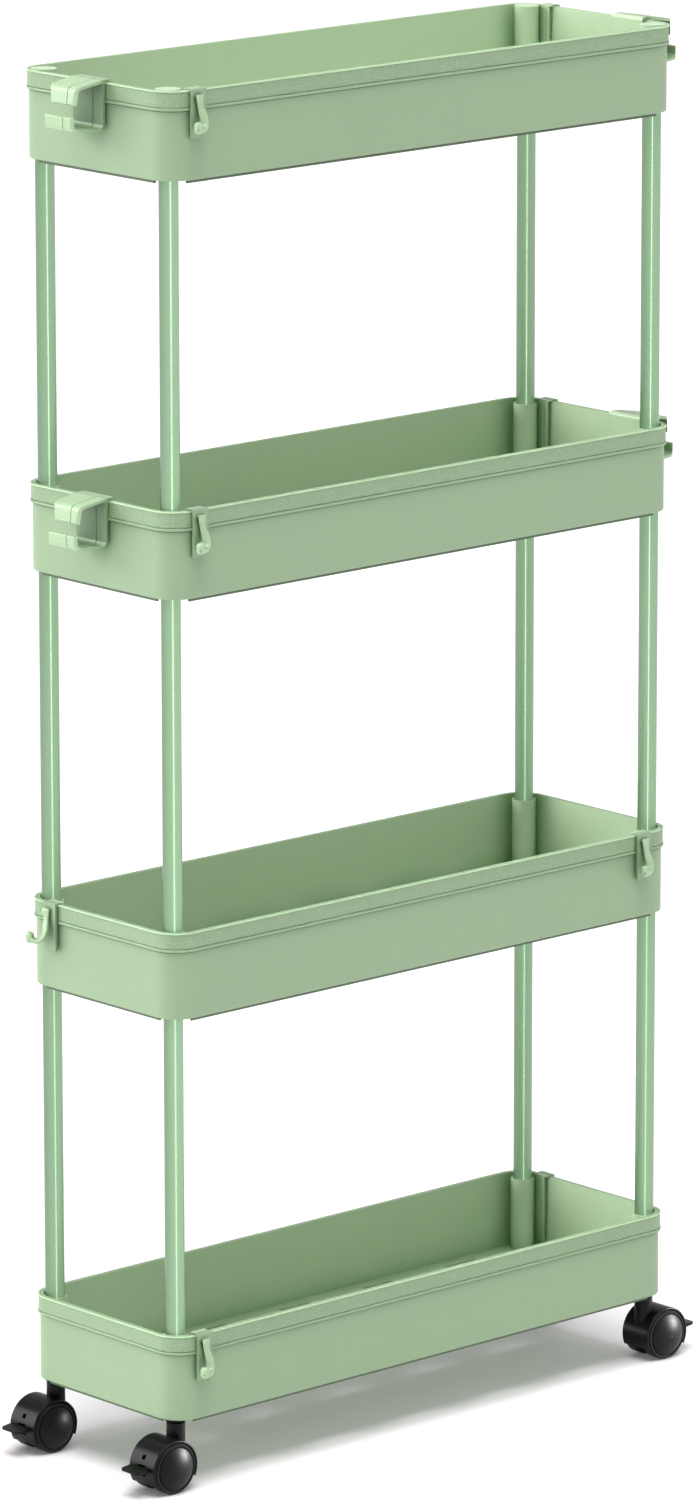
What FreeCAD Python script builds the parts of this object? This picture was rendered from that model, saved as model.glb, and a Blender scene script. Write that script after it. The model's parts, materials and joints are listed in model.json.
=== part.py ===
import FreeCAD, Part
import math
import os

os.makedirs("parts", exist_ok=True)

# Rolling utility cart: four shallow trays on twelve poles, with clip-on
# handles and hooks over the tray rims and four twin-wheel casters.
# Millimetres, +Z up, front face towards -Y, floor at Z = 0.
# The origin is on the floor, under the middle of the whole object.

# ---- trays -----------------------------------------------------------------
TRAY_HALF_X = 207.3
TRAY_HALF_Y = 68.4
CORNER_RADIUS = 16.0
WALL = 1.8
TRAY_DEPTH = 53.5          # rim top to the lower edge of the wall
FLOOR_TOP = 48.5           # rim top down to the floor that things stand on
FLOOR_THICKNESS = 2.2
BASE_FILLET = 0.9
FOOT_RIM = 4.0             # width of the rim left round the underside recess
PLINTH_HEIGHT = 1.9
PLINTH_WIDTH = 1.3
PLINTH_INSET = 2.4         # from the wall's outer face
PLINTH_END_GAP = 16.0      # plinth ribs stop this far short of each end
RIM_Z = [97.7, 348.3, 604.7, 854.9]   # rim tops, lowest tray first

# rim band, from the rim top down
BAND_HEIGHT = 12.0
BAND_PROUD = 1.5
BAND_PANEL_PROUD = 1.05
BAND_TOP_LINE = 0.8
BAND_TOP_FILLET = 0.4
BAND_BEAD = 1.9
BAND_BEAD_FILLET = 0.75
BAND_GROOVE = 0.45         # height of the groove between the panel and the bead
BAND_GROOVE_PROUD = 0.55
SHADOW_GROOVE = 0.6        # height of the groove in the wall under the bead
SHADOW_GROOVE_DEPTH = 0.4

# corner sockets
POLE_X = 197.2
POLE_Y = 56.1
BOSS_RADIUS = 7.7
BOSS_TOP = 2.0             # rim top down to the top of a socket; the top tray's are level with its rim
UPPER_SOCKET_END = 24.0
LOWER_SOCKET_END = 28.0
SOCKET_CLEARANCE = 0.05
WEB_THICKNESS = 2.0
WEB_REACH = 8.2            # ends inside the wall's thickness

# drain slots
SLOT_LENGTH = 27.0
SLOT_WIDTH = 6.0
SLOT_PITCH = 71.0
SLOTS_EACH_SIDE = 2
SLOT_ROW_Y = 56.5

# ---- poles -----------------------------------------------------------------
POLE_RADIUS = 6.0
POLE_CHAMFER = 0.6

# ---- clip-on handles, as distances out from the rim band and up from the rim
HANDLE_WIDTH = 27.0
HANDLE_HALF_THICKNESS = 0.9
HANDLE_GAP = 0.3           # between a clip and the band it hangs on
HANDLE_LEAF_GAP = 0.55     # between the inner leaf and the wall
HANDLE_LEAF_BOTTOM = -15.0
HANDLE_PLATE_BOTTOM = -28.5
HANDLE_CAP_OUT = 20.4
HANDLE_CAP_DROP = 3.1
HANDLE_UPPER_LIP_BOTTOM = -12.0
HANDLE_LOWER_OUT = 24.6
HANDLE_LOWER_RISE = 2.3
HANDLE_LOWER_LIP_TOP = -18.6
HANDLE_LIP_BEND = 3.0
HANDLE_PLATE_BEND = 3.6
HANDLE_LEAF_BEND = 1.3
HANDLE_TIP_WIDTH = 25.0    # the upper lip narrows to this
HANDLE_TIP_CORNER = 5.0    # plan rounding of both lips' ends
HANDLE_END = 40.0
HANDLE_SEAM_FROM_END = 9.2
SEAM_WIDTH = 0.5
SEAM_DEPTH = 0.4

# ---- small hooks -----------------------------------------------------------
CLIP_WIDTH = 11.4
CLIP_THICKNESS = 1.7
CLIP_CAP = 0.7
CLIP_PLATE_BOTTOM = -28.4
CLIP_LEAF_THICKNESS = 1.2
CLIP_LEAF_WIDTH = 8.4
CLIP_LEAF_BOTTOM = -43.0
CLIP_LEAF_GAP = 1.3        # the wall curves in behind one edge of the leaf
CLIP_GROOVE = 0.3
STRAP_TOP = -2.4
STRAP_STUB = 1.5
STRAP_STUB_OUT = 4.6
STRAP_STUB_HALF = 2.4
STRAP_STUB_LEFT = 0.9
STRAP_STUB_ROUND = 1.0
HOOK_TIP_RADIUS = 2.6
HOOK_TIP_OUT = 10.7
HOOK_TIP_LEFT = 8.0
HOOK_TIP_LOW = -21.8
HOOK_TIP_HIGH = -19.6
HOOK_TIP_DIMPLE = 1.1
# (out, left, up, width, thickness, turn) of the strap's middle, from its root to its tip
STRAP_STATIONS = [
    (3.6, 0.9, -2.9, 4.6, 1.8, 0.0),
    (3.9, 0.7, -8.0, 4.5, 1.8, 0.0),
    (4.8, 0.1, -12.6, 4.8, 1.9, 5.0),
    (6.0, -0.3, -16.8, 5.4, 2.1, 15.0),
    (7.2, 0.9, -20.9, 5.6, 2.5, 38.0),
    (8.9, 4.3, -22.7, 5.4, 3.0, 56.0),
    (10.2, 7.1, -21.8, 5.0, 3.6, 66.0),
    (10.6, 7.9, -19.9, 4.8, 3.8, 70.0),
]

# ---- casters ---------------------------------------------------------------
WHEEL_RADIUS = 15.8
WHEEL_INNER = 4.0          # from the caster's middle plane to the wheel
WHEEL_SHOULDER = 11.2
WHEEL_FACE_RADIUS = 14.9
WHEEL_FACE = 12.1
WHEEL_GROOVE_RADIUS = 13.7
WHEEL_GROOVE = 0.6
DOME_RADIUS = 13.1
DOME_EDGE = 12.3
DOME_TOP = 16.2
TREAD_FILLET = 0.9
AXLE_TRAIL = 10.0          # wheel axis outboard of the swivel axis
AXLE_RADIUS = 2.0
AXLE_HALF = 10.8
AXLE_CLEARANCE = 0.05
HOOD_RADIUS = 17.6
HOOD_INNER_RADIUS = 16.4
HOOD_HALF_WIDTH = 11.5
HOOD_FILLET = 0.7
HOOD_INBOARD_END = -25.0   # degrees round the axle from straight inboard
HOOD_OUTBOARD_END = 210.0
WEB_HALF = 3.6
AXLE_BOSS_RADIUS = 5.0
NECK_RADIUS = 5.75
NECK_TOP = 41.6
NECK_RING = 0.35
STEM_PIN_RADIUS = 3.0
STEM_PIN_BOTTOM = 25.0
STEM_PIN_GAP = 0.3
STEM_SHANK_RADIUS = 5.0
STEM_SHANK_TOP = 20.0      # above the tray's lower edge
COLLAR_RADIUS = 6.9
COLLAR_HEIGHT = 1.5
PEDAL_PIVOT_OUT = 12.0     # from the axle, outboard
PEDAL_PIVOT_UP = 1.5
PEDAL_PIVOT_RADIUS = 2.0
PEDAL_ARM_HALF = 2.9
PEDAL_ROOT_OUT = 19.0
PEDAL_TIP_OUT = 28.3
PEDAL_HALF_WIDTH = 8.0
PEDAL_CORNER = 3.0
PEDAL_ROOT_THICKNESS = 3.0
PEDAL_TIP_THICKNESS = 1.0
PEDAL_SLOT_HALF = 3.3
PEDAL_SLOT_TALL = 4.6
PEEP_SIZE = 3.0
PEEP_ANGLE = 28.0
PEEP_DEPTH = 1.6

BIG = 80.0

# ---- derived ---------------------------------------------------------------
BAND_X = TRAY_HALF_X + BAND_PROUD
BAND_Y = TRAY_HALF_Y + BAND_PROUD
FRONT_REACH = BAND_Y + HOOK_TIP_OUT + HOOK_TIP_RADIUS
BACK_REACH = max(BAND_Y, POLE_Y + DOME_TOP)
TRAY_Y = (FRONT_REACH - BACK_REACH) / 2.0
TRAY_NAMES = ["tray_bottom", "tray_lower", "tray_upper", "tray_top"]
AXLE_Z = WHEEL_RADIUS
TRAY_BOTTOM_Z = RIM_Z[0] - TRAY_DEPTH
SIDES = [("left", -1), ("right", 1)]
ENDS = [("front", -1), ("back", 1)]


def vec(x, y, z):
    return FreeCAD.Vector(x, y, z)


X_AXIS = vec(1, 0, 0)
Y_AXIS = vec(0, 1, 0)
Z_AXIS = vec(0, 0, 1)


def save(shape, node):
    """Write one node after cleaning shared faces; it has to be one closed solid."""
    solid = shape.removeSplitter()
    solids = solid.Solids
    print(node, "solids", len(solids), "valid", solid.isValid(), "volume", round(solid.Volume, 1))
    result = solids[0] if len(solids) == 1 else solid
    result.exportStep("parts/" + node + ".step")


def box(x0, x1, y0, y1, z0, z1):
    return Part.makeBox(x1 - x0, y1 - y0, z1 - z0, vec(x0, y0, z0))


def rod(radius, x, y, z0, z1):
    return Part.makeCylinder(radius, z1 - z0, vec(x, y, z0), Z_AXIS)


def moved(shape, x, y, z):
    copy = shape.copy()
    copy.translate(vec(x, y, z))
    return copy


def rounded_prism(half_x, half_y, radius, z0, z1):
    """Upright prism on a rounded rectangle centred on the Z axis."""
    block = box(-half_x, half_x, -half_y, half_y, z0, z1)
    upright = [edge for edge in block.Edges if abs(edge.tangentAt(edge.FirstParameter).z) > 0.9]
    return block.makeFillet(radius, upright)


def level_edges(shape, z):
    """Edges that lie wholly at height z."""
    chosen = []
    for edge in shape.Edges:
        bound = edge.BoundBox
        if abs(bound.ZMin - z) < 1e-4 and abs(bound.ZMax - z) < 1e-4:
            chosen.append(edge)
    return chosen


def ring(proud, z0, z1):
    """Prism that stands proud of the tray wall all round; a negative value cuts into it."""
    return rounded_prism(TRAY_HALF_X + proud, TRAY_HALF_Y + proud, CORNER_RADIUS + proud, z0, z1)


def rim_band():
    """Top line, woven panel, groove and round bead, filled to the middle of the tray."""
    bead_top = -BAND_HEIGHT + BAND_BEAD
    bead = ring(BAND_PROUD, -BAND_HEIGHT, bead_top)
    bead = bead.makeFillet(BAND_BEAD_FILLET, level_edges(bead, -BAND_HEIGHT) + level_edges(bead, bead_top))
    groove = ring(BAND_GROOVE_PROUD, bead_top - BAND_BEAD_FILLET, bead_top + BAND_GROOVE)
    panel = ring(BAND_PANEL_PROUD, bead_top + BAND_GROOVE, -BAND_TOP_LINE)
    line = ring(BAND_PROUD, -BAND_TOP_LINE, 0)
    line = line.makeFillet(BAND_TOP_FILLET, level_edges(line, 0))
    return [bead, groove, panel, line]


def slot(x, y):
    half = SLOT_LENGTH / 2.0 - SLOT_WIDTH / 2.0
    deep = -TRAY_DEPTH - 1.0
    high = -FLOOR_TOP + 1.0
    middle = box(x - half, x + half, y - SLOT_WIDTH / 2.0, y + SLOT_WIDTH / 2.0, deep, high)
    ends = [rod(SLOT_WIDTH / 2.0, x + side * half, y, deep, high) for side in (-1, 1)]
    return middle.fuse(ends)


def corner_boss(side_x, side_y, boss_top):
    """Socket post with a web that ties it to the corner of the wall."""
    post = rod(BOSS_RADIUS, POLE_X, POLE_Y, -TRAY_DEPTH, -boss_top)
    web = box(0, WEB_REACH, -WEB_THICKNESS / 2.0, WEB_THICKNESS / 2.0, -FLOOR_TOP, -2 * BOSS_TOP)
    web.rotate(vec(0, 0, 0), Z_AXIS, 45)
    post = post.fuse(moved(web, POLE_X, POLE_Y, 0))
    if side_x < 0:
        post = post.mirror(vec(0, 0, 0), X_AXIS)
    if side_y < 0:
        post = post.mirror(vec(0, 0, 0), Y_AXIS)
    return post


def tray(tier):
    """One tray with its rim at z = 0: tier 0 is the lowest, tier 3 the top."""
    body = rounded_prism(TRAY_HALF_X, TRAY_HALF_Y, CORNER_RADIUS, -TRAY_DEPTH, 0)
    body = body.makeFillet(BASE_FILLET, level_edges(body, -TRAY_DEPTH))
    groove_low = -BAND_HEIGHT - SHADOW_GROOVE
    groove = box(-BIG * 4, BIG * 4, -BIG * 2, BIG * 2, groove_low, -BAND_HEIGHT)
    body = body.cut(groove.cut(ring(-SHADOW_GROOVE_DEPTH, groove_low - 1, 0)))
    body = body.fuse(rim_band())
    inner_radius = CORNER_RADIUS - WALL
    body = body.cut(rounded_prism(TRAY_HALF_X - WALL, TRAY_HALF_Y - WALL, inner_radius, -FLOOR_TOP, 1))
    foot = rounded_prism(TRAY_HALF_X - FOOT_RIM, TRAY_HALF_Y - FOOT_RIM, CORNER_RADIUS - FOOT_RIM,
                         -TRAY_DEPTH - 1, -FLOOR_TOP - FLOOR_THICKNESS)
    body = body.cut(foot)
    boss_top = BOSS_TOP if tier < 3 else 0.0
    body = body.fuse([corner_boss(side_x, side_y, boss_top) for side_x in (-1, 1) for side_y in (-1, 1)])
    plinth_y = TRAY_HALF_Y - PLINTH_INSET
    plinth_x = TRAY_HALF_X - PLINTH_INSET
    long_end = TRAY_HALF_X - PLINTH_END_GAP
    short_end = TRAY_HALF_Y - PLINTH_END_GAP
    ribs = []
    for side in (-1, 1):
        y0, y1 = sorted((side * plinth_y, side * (plinth_y - PLINTH_WIDTH)))
        x0, x1 = sorted((side * plinth_x, side * (plinth_x - PLINTH_WIDTH)))
        ribs.append(box(-long_end, long_end, y0, y1, -TRAY_DEPTH - PLINTH_HEIGHT, -TRAY_DEPTH + 0.5))
        ribs.append(box(x0, x1, -short_end, short_end, -TRAY_DEPTH - PLINTH_HEIGHT, -TRAY_DEPTH + 0.5))
    body = body.fuse(ribs)
    holes = []
    for row in (-1, 0, 1):
        for column in range(-SLOTS_EACH_SIDE, SLOTS_EACH_SIDE + 1):
            holes.append(slot(column * SLOT_PITCH, row * SLOT_ROW_Y))
    pole_hole = POLE_RADIUS + SOCKET_CLEARANCE
    stem_hole = STEM_SHANK_RADIUS + SOCKET_CLEARANCE
    for side_x in (-1, 1):
        for side_y in (-1, 1):
            x = side_x * POLE_X
            y = side_y * POLE_Y
            if tier < 3:
                holes.append(rod(pole_hole, x, y, -UPPER_SOCKET_END, 1))
            if tier > 0:
                holes.append(rod(pole_hole, x, y, -TRAY_DEPTH - 1, -LOWER_SOCKET_END))
            else:
                holes.append(rod(stem_hole, x, y, -TRAY_DEPTH - 1, -TRAY_DEPTH + STEM_SHANK_TOP))
    return body.cut(holes)


def pole(length):
    bar = rod(POLE_RADIUS, 0, 0, 0, length)
    return bar.makeChamfer(POLE_CHAMFER, level_edges(bar, 0) + level_edges(bar, length))


def bent_strip(points, bends, half):
    """Face of a bent strip in the plane x = 0, from its middle line as (out, up) points.

    Out is towards -Y. Each inner point has a bend radius, and both ends are round."""
    flat = [FreeCAD.Vector(0, -out, up) for out, up in points]
    runs = [(flat[i + 1] - flat[i]).normalize() for i in range(len(flat) - 1)]
    sides = []
    for side in (1, -1):
        offset = [X_AXIS.cross(run) * (side * half) for run in runs]
        edges = []
        start = flat[0] + offset[0]
        for i, bend in enumerate(bends):
            corner = flat[i + 1]
            turn = runs[i].getAngle(runs[i + 1])
            reach = bend * math.tan(turn / 2.0)
            entry = corner - runs[i] * reach
            leave = corner + runs[i + 1] * reach
            inward = (runs[i + 1] - runs[i]).normalize()
            centre = corner + inward * (bend / math.cos(turn / 2.0))
            arc_start = entry + offset[i]
            arc_end = leave + offset[i + 1]
            arc_middle = centre - inward * (arc_start - centre).Length
            edges.append(Part.LineSegment(start, arc_start).toShape())
            edges.append(Part.Arc(arc_start, arc_middle, arc_end).toShape())
            start = arc_end
        finish = flat[-1] + offset[-1]
        edges.append(Part.LineSegment(start, finish).toShape())
        sides.append((edges, flat[0] + offset[0], finish))
    first_cap = Part.Arc(sides[0][1], flat[0] - runs[0] * half, sides[1][1]).toShape()
    last_cap = Part.Arc(sides[0][2], flat[-1] + runs[-1] * half, sides[1][2]).toShape()
    wire = Part.Wire(Part.__sortEdges__(sides[0][0] + [last_cap] + sides[1][0] + [first_cap]))
    return Part.Face(wire)


def strip(points, bends, half, x0, x1):
    face = bent_strip(points, bends, half)
    return moved(face.extrude(vec(x1 - x0, 0, 0)), x0, 0, 0)


def lip_outline(tip_half, lip_out):
    """Upright prism that trims a lip in plan: its end is tip_half wide each side, with round corners."""
    half = HANDLE_WIDTH / 2.0
    far = lip_out + HANDLE_HALF_THICKNESS + 1.0
    corners = [vec(-half, BIG, 0), vec(half, BIG, 0), vec(half, -HANDLE_PLATE_BEND, 0),
               vec(tip_half, -far, 0), vec(-tip_half, -far, 0), vec(-half, -HANDLE_PLATE_BEND, 0)]
    prism = Part.Face(Part.makePolygon(corners + corners[:1])).extrude(vec(0, 0, 2 * HANDLE_END))
    prism.translate(vec(0, 0, -HANDLE_END))
    ends = []
    for edge in prism.Edges:
        bound = edge.BoundBox
        if bound.ZLength > HANDLE_END and bound.YMax < 0.5 - far:
            ends.append(edge)
    return prism.makeFillet(HANDLE_TIP_CORNER, ends)


def handle():
    """C-shaped pull that hangs on the rim: out is -Y, the rim band's face is y = 0."""
    half = HANDLE_HALF_THICKNESS
    leaf_out = -(BAND_PROUD + WALL + HANDLE_LEAF_GAP + half)
    plate_out = HANDLE_GAP + half
    cap_path = [(leaf_out, HANDLE_LEAF_BOTTOM), (leaf_out, half), (plate_out, half),
                (HANDLE_CAP_OUT, half - HANDLE_CAP_DROP), (HANDLE_CAP_OUT + 1.0, HANDLE_UPPER_LIP_BOTTOM + half)]
    cap_bends = [HANDLE_LEAF_BEND, HANDLE_PLATE_BEND, HANDLE_LIP_BEND]
    lower_corner = (HANDLE_LOWER_OUT, HANDLE_PLATE_BOTTOM + HANDLE_LOWER_RISE)
    plate_path = [(plate_out, 0.0), (plate_out, HANDLE_PLATE_BOTTOM), lower_corner,
                  (HANDLE_LOWER_OUT + 0.2, HANDLE_LOWER_LIP_TOP - half)]
    plate_bends = [HANDLE_PLATE_BEND, HANDLE_LIP_BEND]
    x0 = -HANDLE_WIDTH / 2.0
    x1 = HANDLE_WIDTH / 2.0
    cap = strip(cap_path, cap_bends, half, x0, x1).common(lip_outline(HANDLE_TIP_WIDTH / 2.0, HANDLE_CAP_OUT))
    plate = strip(plate_path, plate_bends, half, x0, x1).common(lip_outline(x1, HANDLE_LOWER_OUT))
    body = cap.fuse(plate)
    seam_x = x1 - HANDLE_SEAM_FROM_END
    for path, bends in ((cap_path[2:], cap_bends[2:]), (plate_path, plate_bends)):
        skin = strip(path, bends, half + 0.3, seam_x, seam_x + SEAM_WIDTH)
        core = strip(path, bends, half - SEAM_DEPTH, seam_x - 1, seam_x + 2)
        body = body.cut(skin.cut(core))
    return body


def strap_sections():
    """Rounded-rectangle sections along the strap, turned from flat on the wall to sideways."""
    middles = [vec(-station[1], -station[0], station[2]) for station in STRAP_STATIONS]
    spine = Part.BSplineCurve()
    spine.interpolate(middles)
    wires = []
    for middle, station in zip(middles, STRAP_STATIONS):
        width, thickness = station[3:5]
        turn = math.radians(station[5])
        along = spine.tangent(spine.parameter(middle))[0]
        across = vec(-math.cos(turn), math.sin(turn), 0)
        thick = along.cross(across).normalize()
        across = thick.cross(along).normalize()
        half_w = width / 2.0
        half_t = thickness / 2.0
        flat = half_w - half_t
        a = middle + across * flat + thick * half_t
        b = middle + across * half_w
        c = middle + across * flat - thick * half_t
        d = middle - across * flat - thick * half_t
        e = middle - across * half_w
        f = middle - across * flat + thick * half_t
        edges = [Part.Arc(a, b, c).toShape(), Part.LineSegment(c, d).toShape(),
                 Part.Arc(d, e, f).toShape(), Part.LineSegment(f, a).toShape()]
        wires.append(Part.Wire(edges))
    return wires


def small_hook():
    """Clip with a J-shaped strap: out is -Y, the rim band's face is y = 0."""
    half = CLIP_WIDTH / 2.0
    face = -HANDLE_GAP - CLIP_THICKNESS
    leaf_y = BAND_PROUD + WALL + CLIP_LEAF_GAP
    leaf_back = leaf_y + CLIP_LEAF_THICKNESS
    leaf_half = CLIP_LEAF_WIDTH / 2.0
    plate = box(-half, half, face, -HANDLE_GAP, CLIP_PLATE_BOTTOM, CLIP_CAP)
    cap = box(-half, half, face, leaf_back, 0, CLIP_CAP)
    leaf = box(-leaf_half, leaf_half, leaf_y, leaf_back, CLIP_LEAF_BOTTOM, CLIP_CAP)
    clip = plate.fuse([cap, leaf])
    grooves = []
    for side in (-1, 1):
        x = side * leaf_half / 3.0
        grooves.append(box(x - CLIP_GROOVE, x + CLIP_GROOVE, leaf_back - CLIP_GROOVE,
                           leaf_back + 1, CLIP_LEAF_BOTTOM - 1, -1.5))
    clip = clip.cut(grooves)
    strap = Part.makeLoft(strap_sections(), True, False)
    stub = box(-STRAP_STUB_LEFT - STRAP_STUB_HALF, -STRAP_STUB_LEFT + STRAP_STUB_HALF, -STRAP_STUB_OUT,
               face + 0.5, STRAP_TOP - STRAP_STUB, STRAP_TOP)
    front_top = [edge for edge in level_edges(stub, STRAP_TOP) if edge.BoundBox.YMax < 0.1 - STRAP_STUB_OUT]
    stub = stub.makeFillet(STRAP_STUB_ROUND, front_top)
    low = vec(-HOOK_TIP_LEFT, -HOOK_TIP_OUT, HOOK_TIP_LOW)
    high = vec(-HOOK_TIP_LEFT, -HOOK_TIP_OUT, HOOK_TIP_HIGH)
    tip = rod(HOOK_TIP_RADIUS, low.x, low.y, low.z, high.z)
    tip = tip.fuse([Part.makeSphere(HOOK_TIP_RADIUS, low), Part.makeSphere(HOOK_TIP_RADIUS, high)])
    clip = clip.fuse([strap, stub, tip])
    away = vec(-math.sin(math.radians(45)), -math.cos(math.radians(45)), 0)
    dimple = Part.makeSphere(HOOK_TIP_DIMPLE, low + away * (HOOK_TIP_RADIUS + 0.5))
    return clip.cut(dimple)


def on_wall(shape, wall, along, rim_z):
    """Place a clip, modelled on the front wall, on the front, left or right wall."""
    placed = shape.copy()
    if wall == "front":
        return moved(placed, along, TRAY_Y - BAND_Y, rim_z)
    side = -1 if wall == "left" else 1
    placed.rotate(vec(0, 0, 0), Z_AXIS, side * 90)
    return moved(placed, side * BAND_X, TRAY_Y + along, rim_z)


def around_axle(radius, y0, y1):
    return Part.makeCylinder(radius, y1 - y0, vec(AXLE_TRAIL, y0, AXLE_Z), Y_AXIS)


def wheel():
    """The wheel on the +Y side of a caster, by turning its half section."""
    bore = AXLE_RADIUS + AXLE_CLEARANCE
    bore_end = AXLE_HALF + 0.3
    groove = WHEEL_GROOVE / 2.0
    section = [
        (bore, WHEEL_INNER), (WHEEL_RADIUS - TREAD_FILLET, WHEEL_INNER),
        (WHEEL_RADIUS, WHEEL_INNER + TREAD_FILLET), (WHEEL_RADIUS, WHEEL_SHOULDER),
        (WHEEL_FACE_RADIUS, WHEEL_FACE), (WHEEL_GROOVE_RADIUS + groove, WHEEL_FACE),
        (WHEEL_GROOVE_RADIUS + groove, WHEEL_FACE - WHEEL_GROOVE),
        (WHEEL_GROOVE_RADIUS - groove, WHEEL_FACE - WHEEL_GROOVE),
        (DOME_RADIUS, DOME_EDGE),
    ]
    points = [vec(radius, y, 0) for radius, y in section]
    edges = [Part.LineSegment(a, b).toShape() for a, b in zip(points, points[1:])]
    rise = DOME_TOP - DOME_EDGE
    dome_radius = (DOME_RADIUS ** 2 + rise ** 2) / (2 * rise)
    half_angle = math.asin(DOME_RADIUS / dome_radius) / 2.0
    on_dome = vec(dome_radius * math.sin(half_angle), DOME_TOP - dome_radius * (1 - math.cos(half_angle)), 0)
    top = vec(0, DOME_TOP, 0)
    edges.append(Part.Arc(points[-1], on_dome, top).toShape())
    middle = vec(0, bore_end, 0)
    inner = vec(bore, bore_end, 0)
    edges.append(Part.LineSegment(top, middle).toShape())
    edges.append(Part.LineSegment(middle, inner).toShape())
    edges.append(Part.LineSegment(inner, points[0]).toShape())
    face = Part.Face(Part.Wire(edges))
    return moved(face.revolve(vec(0, 0, 0), Y_AXIS, 360), AXLE_TRAIL, 0, AXLE_Z)


def open_sector(y_half):
    """Wedge below the hood, between its inboard and outboard ends."""
    centre = vec(AXLE_TRAIL, -y_half, AXLE_Z)
    corners = [centre]
    for angle in (HOOD_OUTBOARD_END, 270.0, 360.0 + HOOD_INBOARD_END):
        turn = math.radians(180.0 - angle)
        corners.append(centre + vec(math.cos(turn) * BIG, 0, math.sin(turn) * BIG))
    corners.append(centre)
    return Part.Face(Part.makePolygon(corners)).extrude(vec(0, 2 * y_half, 0))


def hood():
    """Cover over both wheels, with the swivel neck and the web that holds the axle.

    The swivel axis is the Z axis and outboard is +X."""
    cover = around_axle(HOOD_RADIUS, -HOOD_HALF_WIDTH, HOOD_HALF_WIDTH)
    rims = [edge for edge in cover.Edges if edge.Closed]
    cover = cover.makeFillet(HOOD_FILLET, rims)
    cover = cover.cut(open_sector(HOOD_HALF_WIDTH + 1))
    neck = rod(NECK_RADIUS, 0, 0, AXLE_Z - 2.0, NECK_TOP)
    neck = neck.makeChamfer(NECK_RING, level_edges(neck, NECK_TOP))
    boss = around_axle(AXLE_BOSS_RADIUS, -WEB_HALF, WEB_HALF)
    body = cover.fuse([neck, boss])
    wells = [around_axle(HOOD_INNER_RADIUS, WEB_HALF, HOOD_HALF_WIDTH + 5),
             around_axle(HOOD_INNER_RADIUS, -HOOD_HALF_WIDTH - 5, -WEB_HALF)]
    body = body.cut(wells)
    body = body.cut(around_axle(AXLE_RADIUS + AXLE_CLEARANCE / 2.0, -BIG, BIG))
    body = body.cut(rod(STEM_PIN_RADIUS + SOCKET_CLEARANCE, 0, 0, STEM_PIN_BOTTOM - STEM_PIN_GAP, BIG))
    pivot_x = AXLE_TRAIL + PEDAL_PIVOT_OUT
    pivot_z = AXLE_Z + PEDAL_PIVOT_UP
    slot_box = box(pivot_x - PEDAL_PIVOT_RADIUS - 0.6, AXLE_TRAIL + HOOD_RADIUS + 1,
                   -PEDAL_SLOT_HALF, PEDAL_SLOT_HALF, pivot_z - PEDAL_SLOT_TALL, pivot_z + PEDAL_SLOT_TALL / 2.0)
    body = body.cut(slot_box)
    peep = box(HOOD_RADIUS - PEEP_DEPTH, HOOD_RADIUS + 1, -PEEP_SIZE / 2.0, PEEP_SIZE / 2.0,
               -PEEP_SIZE / 2.0, PEEP_SIZE / 2.0)
    peep.rotate(vec(0, 0, 0), Y_AXIS, -PEEP_ANGLE)
    body = body.cut(moved(peep, AXLE_TRAIL, 0, AXLE_Z))
    return body


def pedal():
    """Brake pedal: a wedge-shaped paddle on a short arm with a cross barrel."""
    pivot_x = AXLE_TRAIL + PEDAL_PIVOT_OUT
    pivot_z = AXLE_Z + PEDAL_PIVOT_UP
    barrel = Part.makeCylinder(PEDAL_PIVOT_RADIUS, 2 * PEDAL_ARM_HALF, vec(pivot_x, -PEDAL_ARM_HALF, pivot_z), Y_AXIS)
    root_x = AXLE_TRAIL + PEDAL_ROOT_OUT
    tip_x = AXLE_TRAIL + PEDAL_TIP_OUT
    arm_half = PEDAL_ROOT_THICKNESS / 2.0 - 0.4
    arm = box(pivot_x, root_x + 1, -PEDAL_ARM_HALF, PEDAL_ARM_HALF, pivot_z - arm_half, pivot_z + arm_half)
    profile = [
        vec(root_x, 0, pivot_z - PEDAL_ROOT_THICKNESS / 2.0), vec(root_x, 0, pivot_z + PEDAL_ROOT_THICKNESS / 2.0),
        vec(tip_x, 0, pivot_z + PEDAL_TIP_THICKNESS / 2.0), vec(tip_x, 0, pivot_z - PEDAL_TIP_THICKNESS / 2.0),
    ]
    face = Part.Face(Part.makePolygon(profile + [profile[0]]))
    paddle = moved(face.extrude(vec(0, 2 * PEDAL_HALF_WIDTH, 0)), 0, -PEDAL_HALF_WIDTH, 0)
    corners = []
    for edge in paddle.Edges:
        bound = edge.BoundBox
        if bound.XMin > tip_x - 0.01 and bound.ZLength > bound.YLength:
            corners.append(edge)
    paddle = paddle.makeFillet(PEDAL_CORNER, corners)
    return paddle.fuse([arm, barrel])


def stem():
    """Fixed stem: a shank in the tray socket, a collar, and the pin that the neck turns on."""
    pin = rod(STEM_PIN_RADIUS, 0, 0, STEM_PIN_BOTTOM, TRAY_BOTTOM_Z)
    collar = rod(COLLAR_RADIUS, 0, 0, TRAY_BOTTOM_Z - COLLAR_HEIGHT, TRAY_BOTTOM_Z)
    shank = rod(STEM_SHANK_RADIUS, 0, 0, TRAY_BOTTOM_Z, TRAY_BOTTOM_Z + STEM_SHANK_TOP - 0.5)
    shank = shank.makeChamfer(POLE_CHAMFER, level_edges(shank, TRAY_BOTTOM_Z + STEM_SHANK_TOP - 0.5))
    return pin.fuse([collar, shank])


def at_corner(shape, side_x, side_y):
    """Put a caster piece, modelled with outboard = +X, under one corner of the tray."""
    placed = shape.mirror(vec(0, 0, 0), X_AXIS) if side_x < 0 else shape.copy()
    return moved(placed, side_x * POLE_X, TRAY_Y + side_y * POLE_Y, 0)


# ---- trays and poles -------------------------------------------------------
for tier, name in enumerate(TRAY_NAMES):
    save(moved(tray(tier), 0, TRAY_Y, RIM_Z[tier]), name)

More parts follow.
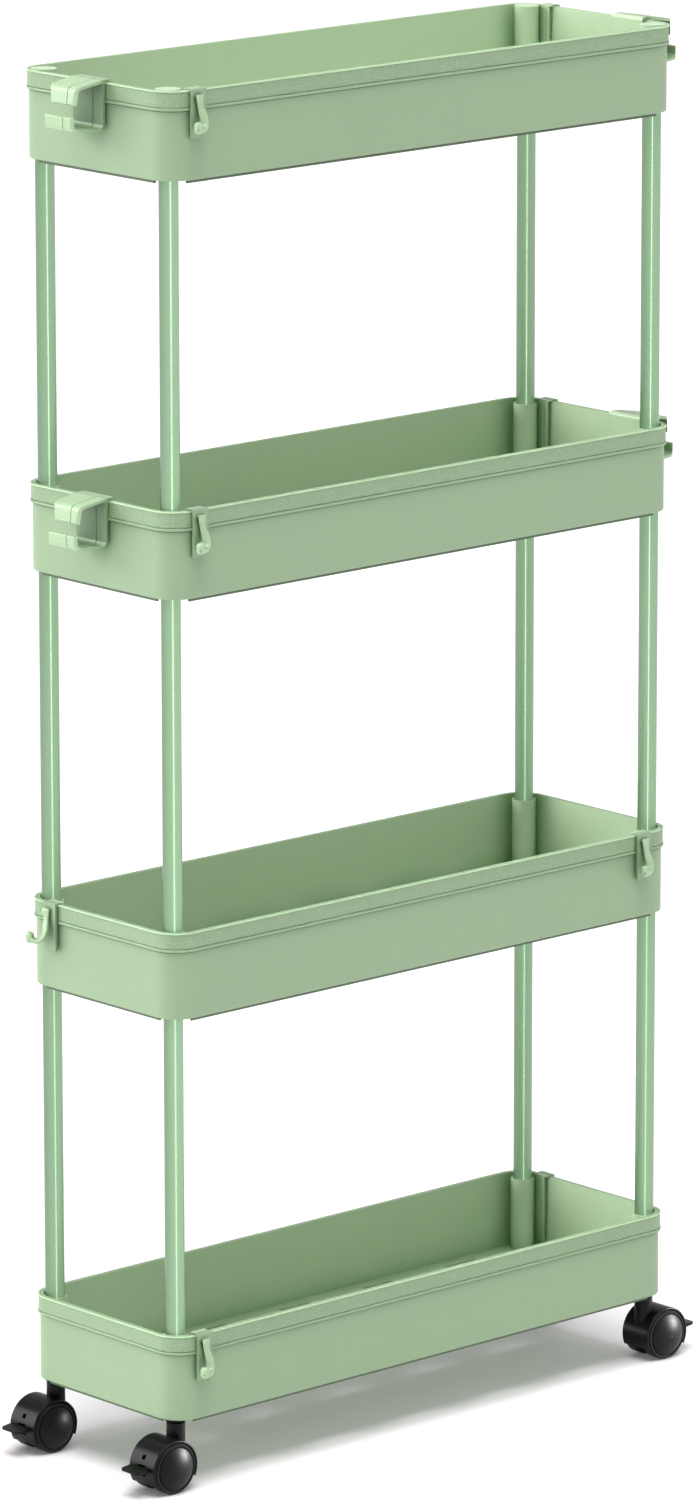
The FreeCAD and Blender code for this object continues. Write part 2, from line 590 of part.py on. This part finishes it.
for tier, level in enumerate(["lower", "middle", "upper"]):
    foot_z = RIM_Z[tier] - UPPER_SOCKET_END
    pole_bar = pole(RIM_Z[tier + 1] - LOWER_SOCKET_END - foot_z)
    for end, side_y in ENDS:
        for side, side_x in SIDES:
            placed_pole = moved(pole_bar, side_x * POLE_X, TRAY_Y + side_y * POLE_Y, foot_z)
            save(placed_pole, "pole_" + level + "_" + end + "_" + side)

# ---- clip-on handles: (name, wall, place along the wall, tier) --------------
HANDLES = [
    ("handle_top_left", "left", 0.0, 3),
    ("handle_top_right", "right", -27.6, 3),
    ("handle_upper_left", "left", 0.0, 2),
    ("handle_upper_right", "right", -27.6, 2),
]
pull = handle()
for name, wall, along, tier in HANDLES:
    save(on_wall(pull, wall, along, RIM_Z[tier]), name)

# ---- small hooks -------------------------------------------------------------
HOOKS = [
    ("hook_top_front", "front", -186.9, 3),
    ("hook_top_right", "right", 46.2, 3),
    ("hook_upper_front", "front", -186.9, 2),
    ("hook_upper_right", "right", 46.2, 2),
    ("hook_lower_front", "front", 180.0, 1),
    ("hook_lower_left", "left", 42.3, 1),
    ("hook_bottom_front", "front", -186.9, 0),
    ("hook_bottom_right", "right", 46.2, 0),
]
clip = small_hook()
for name, wall, along, tier in HOOKS:
    save(on_wall(clip, wall, along, RIM_Z[tier]), name)

# ---- casters -----------------------------------------------------------------
back_wheel = wheel()
front_wheel = back_wheel.mirror(vec(0, 0, 0), Y_AXIS)
axle = around_axle(AXLE_RADIUS, -AXLE_HALF, AXLE_HALF)
PIECES = [
    ("caster_stem", stem()), ("caster_hood", hood()), ("caster_axle", axle),
    ("caster_wheel_a", front_wheel), ("caster_wheel_b", back_wheel), ("brake_pedal", pedal()),
]
for end, side_y in ENDS:
    for side, side_x in SIDES:
        for piece, shape in PIECES:
            save(at_corner(shape, side_x, side_y), piece + "_" + end + "_" + side)
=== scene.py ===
import json
import math

import bpy
from mathutils import Matrix, Vector


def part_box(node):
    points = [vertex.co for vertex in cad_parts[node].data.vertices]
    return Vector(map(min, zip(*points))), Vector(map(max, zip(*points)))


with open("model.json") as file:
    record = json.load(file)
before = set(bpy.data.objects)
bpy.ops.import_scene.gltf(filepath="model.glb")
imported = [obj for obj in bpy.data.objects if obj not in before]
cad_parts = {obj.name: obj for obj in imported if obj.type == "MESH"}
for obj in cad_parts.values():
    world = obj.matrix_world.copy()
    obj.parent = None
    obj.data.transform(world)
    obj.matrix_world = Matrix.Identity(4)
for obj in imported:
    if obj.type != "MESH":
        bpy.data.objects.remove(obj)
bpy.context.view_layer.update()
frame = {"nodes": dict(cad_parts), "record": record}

# ---- the object's own measures, in metres ----------------------------------
TRAYS = ["tray_bottom", "tray_lower", "tray_upper", "tray_top"]
RIM_Z = [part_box(name)[1].z for name in TRAYS]
TRAY_LOW, TRAY_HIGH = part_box("tray_top")
TRAY_Y = (TRAY_LOW.y + TRAY_HIGH.y) / 2.0
BAND_X = TRAY_HIGH.x
BAND_Y = TRAY_HIGH.y - TRAY_Y
BAND_PROUD = 0.0015
CORNER_RADIUS = 0.016
BAND_HEIGHT = 0.012
BAND_BEAD = 0.0019
BAND_TOP_LINE = 0.0008
BAND_GROOVE = 0.00045
TRAY_DEPTH = 0.0535
FLOOR_DEPTH = 0.0485
RIM_MARGIN = 0.004
PLATE_FACE = 0.0039        # straps and lips of the clips stand out further than this
BAND_FACE = 0.0008         # the rim band's faces stand out further than this
INNER_FACE = -0.0012       # the faces inside a tray lie further in than this
FLOOR_MARGIN = 0.001       # how far below the tray's floor the inner, painted-light colour still holds
UNDER_MARGIN = 0.0001      # how far below the wall's edge the underside's painted shade starts


# ---- camera ------------------------------------------------------------------
CAMERA_AZIMUTH = math.radians(-42.193)
CAMERA_ELEVATION = math.radians(12.97)
CAMERA_ROLL = math.radians(-0.065)
CAMERA_PLACE = Vector((-3.4497, -3.8000 + TRAY_Y, 1.6003))
CAMERA_LENS_MM = 205.36
SENSOR_MM = 36.0
CAMERA_FAR = 60.0


def make_camera():
    data = bpy.data.cameras.new("camera")
    data.lens = CAMERA_LENS_MM
    data.sensor_width = SENSOR_MM
    data.clip_end = CAMERA_FAR
    camera = bpy.data.objects.new("camera", data)
    bpy.context.scene.collection.objects.link(camera)
    az, el = CAMERA_AZIMUTH, CAMERA_ELEVATION
    back = Vector((math.sin(az) * math.cos(el), -math.cos(az) * math.cos(el), math.sin(el)))
    right = Vector((math.cos(az), math.sin(az), 0.0))
    up = back.cross(right)
    turned_right = right * math.cos(CAMERA_ROLL) + up * math.sin(CAMERA_ROLL)
    turned_up = back.cross(turned_right)
    turn = Matrix((turned_right, turned_up, back)).transposed().to_4x4()
    camera.matrix_world = Matrix.Translation(CAMERA_PLACE) @ turn
    bpy.context.scene.camera = camera


# ---- light and floor ---------------------------------------------------------
FLOOR_HALF = 14.0
FLOOR_COLOUR = (0.97, 0.93, 0.97, 1.0)
FLOOR_ROUGHNESS = 0.65
WORLD_COLOUR = (1.0, 1.0, 1.0, 1.0)
WORLD_STRENGTH = 0.58
# each sun: direction that the light comes from, strength, width in degrees
OVERHEAD = ((-0.20, -0.22, 1.0), 2.4, 38.0)
FLOOR_FILL = ((0.0, 0.0, 1.0), 0.62, 60.0)
KEY = ((-0.629, 0.698, 0.342), 2.18, 40.0)
POLE_BACK = ((0.25, 0.95, 0.30), 2.2, 8.0)
# each panel: place, the point that it faces, width, height, power in watts
POLE_STRIP = ((-0.72, -1.42, 0.35), (0.0, TRAY_Y, 0.42), 0.16, 1.8, 27.0)
CASTER_GLOW = ((1.70, -1.05, 0.42), (0.0, -0.05, 0.02), 0.7, 0.7, 130.0)


def pieces_named(*starts):
    return [piece for node, piece in frame["nodes"].items() if node.startswith(starts)]


def fall_on(light, lit):
    """Let a light fall on the given pieces alone."""
    receivers = bpy.data.collections.new(light.name + "_receivers")
    for piece in lit:
        receivers.objects.link(piece)
    light.light_linking.receiver_collection = receivers


def make_panel(name, place, target, width, height, power, lit):
    """Rectangular light panel that falls on the given pieces alone."""
    data = bpy.data.lights.new(name, "AREA")
    data.shape = "RECTANGLE"
    data.size = width
    data.size_y = height
    data.energy = power
    light = bpy.data.objects.new(name, data)
    bpy.context.scene.collection.objects.link(light)
    light.location = place
    light.visible_camera = False
    light.rotation_euler = (Vector(target) - Vector(place)).to_track_quat("-Z", "Y").to_euler()
    fall_on(light, lit)
    return light


def make_sun(name, towards, strength, spread):
    """Soft light from far away: towards is the direction of the light, spread its width in degrees."""
    data = bpy.data.lights.new(name, "SUN")
    data.energy = strength
    data.angle = math.radians(spread)
    light = bpy.data.objects.new(name, data)
    bpy.context.scene.collection.objects.link(light)
    light.rotation_euler = Vector(towards).to_track_quat("Z", "Y").to_euler()
    return light


def make_floor():
    corners = [(-1, -1), (1, -1), (1, 1), (-1, 1)]
    mesh = bpy.data.meshes.new("floor")
    mesh.from_pydata([(FLOOR_HALF * x, FLOOR_HALF * y, 0.0) for x, y in corners], [], [(0, 1, 2, 3)])
    floor = bpy.data.objects.new("floor", mesh)
    bpy.context.scene.collection.objects.link(floor)
    material = bpy.data.materials.new("pale_floor")
    material.use_nodes = True
    shader = material.node_tree.nodes["Principled BSDF"]
    shader.inputs["Base Color"].default_value = FLOOR_COLOUR
    shader.inputs["Roughness"].default_value = FLOOR_ROUGHNESS
    mesh.materials.append(material)
    return floor


def make_world():
    world = bpy.data.worlds.new("studio")
    world.use_nodes = True
    background = world.node_tree.nodes["Background"]
    background.inputs["Color"].default_value = WORLD_COLOUR
    background.inputs["Strength"].default_value = WORLD_STRENGTH
    bpy.context.scene.world = world
    bpy.context.scene.view_settings.view_transform = "Standard"


def make_lights(floor):
    poles = pieces_named("pole")
    make_sun("overhead", *OVERHEAD)
    floor_fill = make_sun("floor_fill", *FLOOR_FILL)
    floor_fill.data.use_shadow = False
    fall_on(floor_fill, [floor])
    key = make_sun("key", *KEY)
    fall_on(key, pieces_named("tray", "handle", "hook", "caster", "brake"))
    pole_strip = make_panel("pole_strip", *POLE_STRIP, poles)
    pole_strip.data.use_shadow = False
    pole_back = make_sun("pole_back", *POLE_BACK)
    pole_back.visible_glossy = False
    fall_on(pole_back, poles)
    make_panel("caster_glow", *CASTER_GLOW, pieces_named("caster", "brake"))


# ---- small shader helpers ----------------------------------------------------
GAP_SAMPLES = 6
GAP_CLOSED = 0.30          # openness at which a gap has its darkest painted shade
GAP_OPEN = 0.92            # openness from which no shade is painted


class Nodes:
    """Short way to build one material's node tree."""

    def __init__(self, name):
        self.material = bpy.data.materials.new(name)
        self.material.use_nodes = True
        self.tree = self.material.node_tree
        self.shader = self.tree.nodes["Principled BSDF"]
        self.place = self.add("ShaderNodeTexCoord").outputs["Object"]

    def add(self, kind, **settings):
        node = self.tree.nodes.new(kind)
        for key, value in settings.items():
            setattr(node, key, value)
        return node

    def link(self, source, target):
        self.tree.links.new(source, target)

    def set(self, socket, value):
        """Give the shader's own socket one value for the whole surface."""
        self.shader.inputs[socket].default_value = value

    def wire(self, socket, source):
        """Drive the shader's own socket from a node."""
        self.link(source, self.shader.inputs[socket])

    def feed(self, socket, value):
        if isinstance(value, (int, float, tuple)):
            socket.default_value = value
        else:
            self.link(value, socket)

    def math(self, operation, a, b=0.0, clamp=False):
        node = self.add("ShaderNodeMath", operation=operation, use_clamp=clamp)
        self.feed(node.inputs[0], a)
        self.feed(node.inputs[1], b)
        return node.outputs[0]

    def axes(self):
        node = self.add("ShaderNodeSeparateXYZ")
        self.link(self.place, node.inputs[0])
        return node.outputs[0], node.outputs[1], node.outputs[2]

    def stretched(self, scale):
        node = self.add("ShaderNodeMapping")
        self.link(self.place, node.inputs["Vector"])
        node.inputs["Scale"].default_value = scale
        return node.outputs[0]

    def noise(self, pattern, place=None):
        """Noise of a pattern, which is its scale, detail and roughness."""
        node = self.add("ShaderNodeTexNoise")
        self.link(place or self.place, node.inputs["Vector"])
        for socket, value in zip(("Scale", "Detail", "Roughness"), pattern):
            node.inputs[socket].default_value = value
        return node.outputs["Fac"]

    def ramp(self, factor, stops):
        node = self.add("ShaderNodeValToRGB")
        self.link(factor, node.inputs["Fac"])
        ramp = node.color_ramp
        while len(ramp.elements) < len(stops):
            ramp.elements.new(0.5)
        for element, (at, value) in zip(ramp.elements, stops):
            element.position = at
            element.color = value if isinstance(value, tuple) else (value, value, value, 1.0)
        return node.outputs["Color"]

    def mix(self, factor, a, b):
        node = self.add("ShaderNodeMix", data_type="RGBA")
        self.feed(node.inputs["Factor"], factor)
        self.feed(node.inputs["A"], a)
        self.feed(node.inputs["B"], b)
        return node.outputs["Result"]

    def painted_gap_shade(self, colour, reach, deepest):
        """Paint shade into a colour in gaps and inner corners narrower than reach, down to deepest
        times it.
        """
        gap = self.add("ShaderNodeAmbientOcclusion", samples=GAP_SAMPLES)
        gap.inputs["Distance"].default_value = reach
        shade_factor = self.ramp(gap.outputs["AO"], [(GAP_CLOSED, deepest), (GAP_OPEN, 1.0)])
        node = self.add("ShaderNodeMix", data_type="RGBA", blend_type="MULTIPLY")
        node.inputs["Factor"].default_value = 1.0
        self.feed(node.inputs["A"], colour)
        self.feed(node.inputs["B"], shade_factor)
        return node.outputs["Result"]

    def bump(self, height, distance, strength, after=None):
        node = self.add("ShaderNodeBump")
        self.link(height, node.inputs["Height"])
        node.inputs["Distance"].default_value = distance
        node.inputs["Strength"].default_value = strength
        if after is not None:
            self.link(after, node.inputs["Normal"])
        return node.outputs["Normal"]


def shade(colour, factor):
    return (colour[0] * factor, colour[1] * factor, colour[2] * factor, 1.0)


def cloudy(nodes, cloud, colour, low, high):
    """A colour that drifts between low and high times itself."""
    return nodes.mix(cloud, shade(colour, low), shade(colour, high))


def outside_distance(nodes, x, y):
    """Distance out from the plain tray wall: above zero on the rim band, below on inner faces."""
    qx = nodes.math("SUBTRACT", nodes.math("ABSOLUTE", x), BAND_X - BAND_PROUD - CORNER_RADIUS)
    qy = nodes.math("SUBTRACT", nodes.math("ABSOLUTE", nodes.math("SUBTRACT", y, TRAY_Y)),
                    BAND_Y - BAND_PROUD - CORNER_RADIUS)
    over_x = nodes.math("MAXIMUM", qx, 0.0)
    over_y = nodes.math("MAXIMUM", qy, 0.0)
    reach = nodes.math("SQRT", nodes.math("ADD", nodes.math("MULTIPLY", over_x, over_x),
                                          nodes.math("MULTIPLY", over_y, over_y)))
    deep = nodes.math("MINIMUM", nodes.math("MAXIMUM", qx, qy), 0.0)
    return nodes.math("SUBTRACT", nodes.math("ADD", reach, deep), CORNER_RADIUS)


def below_rim(nodes, z):
    """How far down from its own tray's rim a point lies."""
    rim = RIM_Z[0]
    for low, high in zip(RIM_Z, RIM_Z[1:]):
        above = nodes.math("GREATER_THAN", z, low + RIM_MARGIN)
        rim = nodes.math("ADD", nodes.math("MULTIPLY", above, high - low), rim)
    return nodes.math("SUBTRACT", rim, z)


# ---- tray plastic --------------------------------------------------------------
GREEN = (0.276, 0.395, 0.236)
# lighter copy of the green for faces inside the trays: painted light
INNER_PAINTED_LIGHT_GREEN = (0.490, 0.622, 0.428)
# noise patterns: scale, detail, roughness
WARP = (300.0, 3.0, 0.65)
FRAY = (950.0, 3.0, 0.6)
PATCH = (120.0, 2.0, 0.5)
TRAY_GRAIN = (2600.0, 2.0, 0.55)
TRAY_CLOUD = (14.0, 3.0, 0.55)
TRAY_STREAK = (9.0, 2.0, 0.5)
TRAY_STREAK_STRETCH = (1.0, 1.0, 0.15)
# the band's threads
WARP_SWAY = 0.0034
ZIGZAG = 0.0012
ZIGZAG_SLANT = 0.8
WARP_SLANT = 0.0016
THREAD_ROWS = 3600.0       # radians of thread pattern to a metre
FRAY_MIDDLE = 0.5
FRAY_GAIN = 6.5
# painted shade on the threads' shaded sides, and painted highlight on their lit sides
THREAD_DARK = 0.20
THREAD_PAINTED_SHADE = 0.45
THREAD_LIGHT = 0.16
PAINTED_HIGHLIGHT_SHADE = 1.7         # painted highlight on the threads' lit sides and along the band's top line
# the rest
TRAY_SHADES = (0.965, 1.035)
INNER_SHADES = (0.97, 1.03)
STREAK_AMOUNT = 0.25
STREAK_SHADE = 1.06
# painted shade on the trays' underside
UNDER_PAINTED_SHADE = 0.36
# painted shade in the trays' gaps and inner corners: how far it reaches and its darkest shade
TRAY_GAP_REACH = 0.018
TRAY_GAP_DEEPEST = (0.60, 0.73, 0.57, 1.0)
TRAY_ROUGHNESS = [(0.3, 0.42), (0.7, 0.52)]
GRAIN_HEIGHT = 0.00004
GRAIN_STRENGTH = 0.35
THREAD_HEIGHT = 0.00009


def weave(nodes, x, y, z):
    """Irregular fabric-like threads along the rim band: below zero they take painted shade, above zero
    a painted highlight.
    """
    warp = nodes.noise(WARP)
    fray = nodes.noise(FRAY)
    patch = nodes.noise(PATCH)
    along = nodes.math("ADD", x, y)
    shaken = nodes.math("ADD", along, nodes.math("MULTIPLY", warp, WARP_SWAY))
    zigzag = nodes.math("PINGPONG", shaken, ZIGZAG)
    slant = nodes.math("ADD", z, nodes.math("MULTIPLY", zigzag, ZIGZAG_SLANT))
    slant = nodes.math("ADD", slant, nodes.math("MULTIPLY", warp, WARP_SLANT))
    rows = nodes.math("SINE", nodes.math("MULTIPLY", slant, THREAD_ROWS))
    rows = nodes.math("MULTIPLY", rows, patch)
    frayed = nodes.math("MULTIPLY", nodes.math("SUBTRACT", fray, FRAY_MIDDLE), FRAY_GAIN)
    return nodes.math("ADD", rows, frayed)


def tray_colour(nodes, cloud, threads, below, out):
    """Outer green; lighter inner green as painted light; woven band with painted shade and highlight;
    painted highlight along the rim line; painted shade on the underside.
    """
    streak = nodes.noise(TRAY_STREAK, nodes.stretched(TRAY_STREAK_STRETCH))
    base = cloudy(nodes, cloud, GREEN, *TRAY_SHADES)
    base = nodes.mix(nodes.math("MULTIPLY", streak, STREAK_AMOUNT), base, shade(GREEN, STREAK_SHADE))
    # faces inside a tray, down to its floor, take the lighter inner green: painted light
    inside = nodes.math("LESS_THAN", out, INNER_FACE)
    floor_side = nodes.math("LESS_THAN", below, FLOOR_DEPTH + FLOOR_MARGIN)
    inside = nodes.math("MULTIPLY", inside, floor_side)
    base = nodes.mix(inside, base, cloudy(nodes, cloud, INNER_PAINTED_LIGHT_GREEN, *INNER_SHADES))
    # painted shade on the threads' shaded sides, then painted highlight on their lit sides
    dark = nodes.math("MULTIPLY", nodes.math("SUBTRACT", 0.0, threads, clamp=True), THREAD_DARK)
    base = nodes.mix(dark, base, shade(GREEN, THREAD_PAINTED_SHADE))
    light = nodes.math("MULTIPLY", nodes.math("ADD", 0.0, threads, clamp=True), THREAD_LIGHT)
    base = nodes.mix(light, base, shade(GREEN, PAINTED_HIGHLIGHT_SHADE))
    # painted highlight along the band's top line
    outside = nodes.math("GREATER_THAN", out, BAND_FACE)
    top_line = nodes.math("MULTIPLY", nodes.math("LESS_THAN", below, BAND_TOP_LINE), outside)
    base = nodes.mix(top_line, base, shade(GREEN, PAINTED_HIGHLIGHT_SHADE))
    # painted shade on everything below the wall's bottom edge
    under = nodes.math("GREATER_THAN", below, TRAY_DEPTH + UNDER_MARGIN)
    return nodes.mix(under, base, shade(GREEN, UNDER_PAINTED_SHADE))


def band_panel(nodes, below, out):
    """One on the rim band's panel between its top line and its bead, else zero."""
    above_bead = nodes.math("LESS_THAN", below, BAND_HEIGHT - BAND_BEAD - BAND_GROOVE)
    under_line = nodes.math("GREATER_THAN", below, BAND_TOP_LINE)
    outside = nodes.math("GREATER_THAN", out, BAND_FACE)
    return nodes.math("MULTIPLY", nodes.math("MULTIPLY", above_bead, under_line), outside)


def tray_plastic():
    nodes = Nodes("tray_plastic")
    x, y, z = nodes.axes()
    below = below_rim(nodes, z)
    out = outside_distance(nodes, x, y)
    threads = nodes.math("MULTIPLY", weave(nodes, x, y, z), band_panel(nodes, below, out))
    cloud = nodes.noise(TRAY_CLOUD)
    base = tray_colour(nodes, cloud, threads, below, out)
    # painted shade in gaps and inner corners
    nodes.wire("Base Color", nodes.painted_gap_shade(base, TRAY_GAP_REACH, TRAY_GAP_DEEPEST))
    nodes.wire("Roughness", nodes.ramp(cloud, TRAY_ROUGHNESS))
    smooth = nodes.bump(nodes.noise(TRAY_GRAIN), GRAIN_HEIGHT, GRAIN_STRENGTH)
    nodes.wire("Normal", nodes.bump(threads, THREAD_HEIGHT, 1.0, smooth))
    nodes.set("Specular IOR Level", 0.45)
    nodes.set("Subsurface Weight", 0.05)
    nodes.set("Subsurface Radius", (0.004, 0.005, 0.003))
    nodes.set("Subsurface Scale", 0.5)
    return nodes.material


# ---- pole paint ----------------------------------------------------------------
POLE_GREEN = (0.160, 0.250, 0.155)
POLE_CLOUD = (30.0, 3.0, 0.5)
POLE_CLOUD_STRETCH = (1.0, 1.0, 0.1)
POLE_PEEL = (1100.0, 2.0, 0.5)
POLE_SHADES = (0.95, 1.05)
POLE_ROUGHNESS = [(0.3, 0.19), (0.7, 0.23)]
PEEL_HEIGHT = 0.00003
PEEL_STRENGTH = 0.3


def pole_paint():
    nodes = Nodes("pole_paint")
    cloud = nodes.noise(POLE_CLOUD, nodes.stretched(POLE_CLOUD_STRETCH))
    nodes.wire("Base Color", cloudy(nodes, cloud, POLE_GREEN, *POLE_SHADES))
    nodes.wire("Roughness", nodes.ramp(cloud, POLE_ROUGHNESS))
    nodes.wire("Normal", nodes.bump(nodes.noise(POLE_PEEL), PEEL_HEIGHT, PEEL_STRENGTH))
    nodes.set("Specular IOR Level", 0.80)
    nodes.set("Specular Tint", (0.60, 0.90, 0.57, 1.0))
    return nodes.material


# ---- clip plastic: handles and hooks ---------------------------------------------
CLIP_GREEN = (0.280, 0.400, 0.240)
CLIP_CLOUD = (60.0, 3.0, 0.5)
CLIP_GRAIN = (2400.0, 2.0, 0.5)
CLIP_DRAWN = (700.0, 2.0, 0.5)
CLIP_DRAWN_STRETCH = (1.0, 1.0, 0.10)
CLIP_SHADES = (0.96, 1.04)
DRAWN_AMOUNT = [(0.45, 0.0), (0.75, 0.14)]
DRAWN_SHADE = 1.5
FRONT_PAINTED_LIGHT = 1.32         # painted light: straps and lips, which stand in front of the plate, are painted lighter
# painted shade in the clips' gaps and cavities: how far it reaches and its darkest shade
CLIP_GAP_REACH = 0.026
CLIP_GAP_DEEPEST = (0.30, 0.42, 0.28, 1.0)
CLIP_ROUGHNESS = [(0.3, 0.30), (0.7, 0.38)]
CLIP_GRAIN_HEIGHT = 0.00003
CLIP_GRAIN_STRENGTH = 0.4


def clip_plastic():
    nodes = Nodes("clip_plastic")
    x, y, _ = nodes.axes()
    cloud = nodes.noise(CLIP_CLOUD)
    drawn = nodes.noise(CLIP_DRAWN, nodes.stretched(CLIP_DRAWN_STRETCH))
    base = cloudy(nodes, cloud, CLIP_GREEN, *CLIP_SHADES)
    base = nodes.mix(nodes.ramp(drawn, DRAWN_AMOUNT), base, shade(CLIP_GREEN, DRAWN_SHADE))
    out = outside_distance(nodes, x, y)
    # straps and lips that stand out are painted lighter: painted light
    base = nodes.mix(nodes.math("GREATER_THAN", out, PLATE_FACE), base, shade(CLIP_GREEN, FRONT_PAINTED_LIGHT))
    # clip parts inside a tray take the trays' lighter inner green: painted light
    base = nodes.mix(nodes.math("LESS_THAN", out, INNER_FACE), base, shade(INNER_PAINTED_LIGHT_GREEN, 1.0))
    # painted shade in gaps and cavities
    nodes.wire("Base Color", nodes.painted_gap_shade(base, CLIP_GAP_REACH, CLIP_GAP_DEEPEST))
    nodes.wire("Roughness", nodes.ramp(cloud, CLIP_ROUGHNESS))
    nodes.wire("Normal", nodes.bump(nodes.noise(CLIP_GRAIN), CLIP_GRAIN_HEIGHT, CLIP_GRAIN_STRENGTH))
    return nodes.material


# ---- black plastic: casters, wheels and pedals -------------------------------------
BLACK_CLOUD = (120.0, 3.0, 0.55)
BLACK_SCUFF = (700.0, 4.0, 0.65)
BLACK_SCUFF_STRETCH = (1.0, 3.0, 1.0)
BLACK_SHADES = (0.8, 1.25)
BLACK_BLUE = 1.04          # blue against the other two colours
SCUFF_FROM = 0.35
SCUFF_TO = 0.75
SCUFF_HEIGHT = 0.00004
SCUFF_STRENGTH = 0.3
# grey, lowest roughness, highest roughness
CASTER_BLACK = (0.0035, 0.26, 0.36)
WHEEL_BLACK = (0.0045, 0.34, 0.44)


def black_plastic(name, grey, low, high):
    nodes = Nodes(name)
    cloud = nodes.noise(BLACK_CLOUD)
    scuff = nodes.noise(BLACK_SCUFF, nodes.stretched(BLACK_SCUFF_STRETCH))
    nodes.wire("Base Color", cloudy(nodes, cloud, (grey, grey, grey * BLACK_BLUE), *BLACK_SHADES))
    nodes.wire("Roughness", nodes.ramp(scuff, [(SCUFF_FROM, low), (SCUFF_TO, high)]))
    nodes.wire("Normal", nodes.bump(scuff, SCUFF_HEIGHT, SCUFF_STRENGTH))
    nodes.set("Specular IOR Level", 0.14)
    return nodes.material


# ---- axle steel ------------------------------------------------------------------
STEEL_LINES = (900.0, 2.0, 0.5)
STEEL_STRETCH = (1.0, 0.05, 1.0)
STEEL_DARK = (0.46, 0.46, 0.47, 1.0)
STEEL_LIGHT = (0.62, 0.62, 0.63, 1.0)
STEEL_ROUGHNESS = [(0.3, 0.25), (0.7, 0.40)]


def axle_steel():
    nodes = Nodes("axle_steel")
    lines = nodes.noise(STEEL_LINES, nodes.stretched(STEEL_STRETCH))
    nodes.wire("Base Color", nodes.mix(lines, STEEL_DARK, STEEL_LIGHT))
    nodes.wire("Roughness", nodes.ramp(lines, STEEL_ROUGHNESS))
    nodes.set("Metallic", 1.0)
    return nodes.material


# ---- finish on the CAD nodes -------------------------------------------------
CLIP_EDGE_ROUND = 0.0003
EDGE_SEGMENTS = 2
EDGE_ANGLE = math.radians(38)


def set_material(piece, material):
    piece.data.materials.clear()
    piece.data.materials.append(material)


def soften_edges(piece, width):
    bevel = piece.modifiers.new("edge_round", "BEVEL")
    bevel.width = width
    bevel.segments = EDGE_SEGMENTS
    bevel.limit_method = "ANGLE"
    bevel.angle_limit = EDGE_ANGLE
    bevel.harden_normals = True
    bevel.use_clamp_overlap = True


MATERIALS = {
    "tray_plastic": tray_plastic(),
    "pole_paint": pole_paint(),
    "clip_plastic": clip_plastic(),
    "caster_plastic": black_plastic("caster_plastic", *CASTER_BLACK),
    "wheel_plastic": black_plastic("wheel_plastic", *WHEEL_BLACK),
    "axle_steel": axle_steel(),
}
SLOTS = {row["node"]: row["material_slot"] for row in frame["record"]["subparts"]}
for node, piece in frame["nodes"].items():
    set_material(piece, MATERIALS[SLOTS[node]])
    if node.startswith(("hook", "handle")):
        soften_edges(piece, CLIP_EDGE_ROUND)

make_camera()
make_world()
make_lights(make_floor())
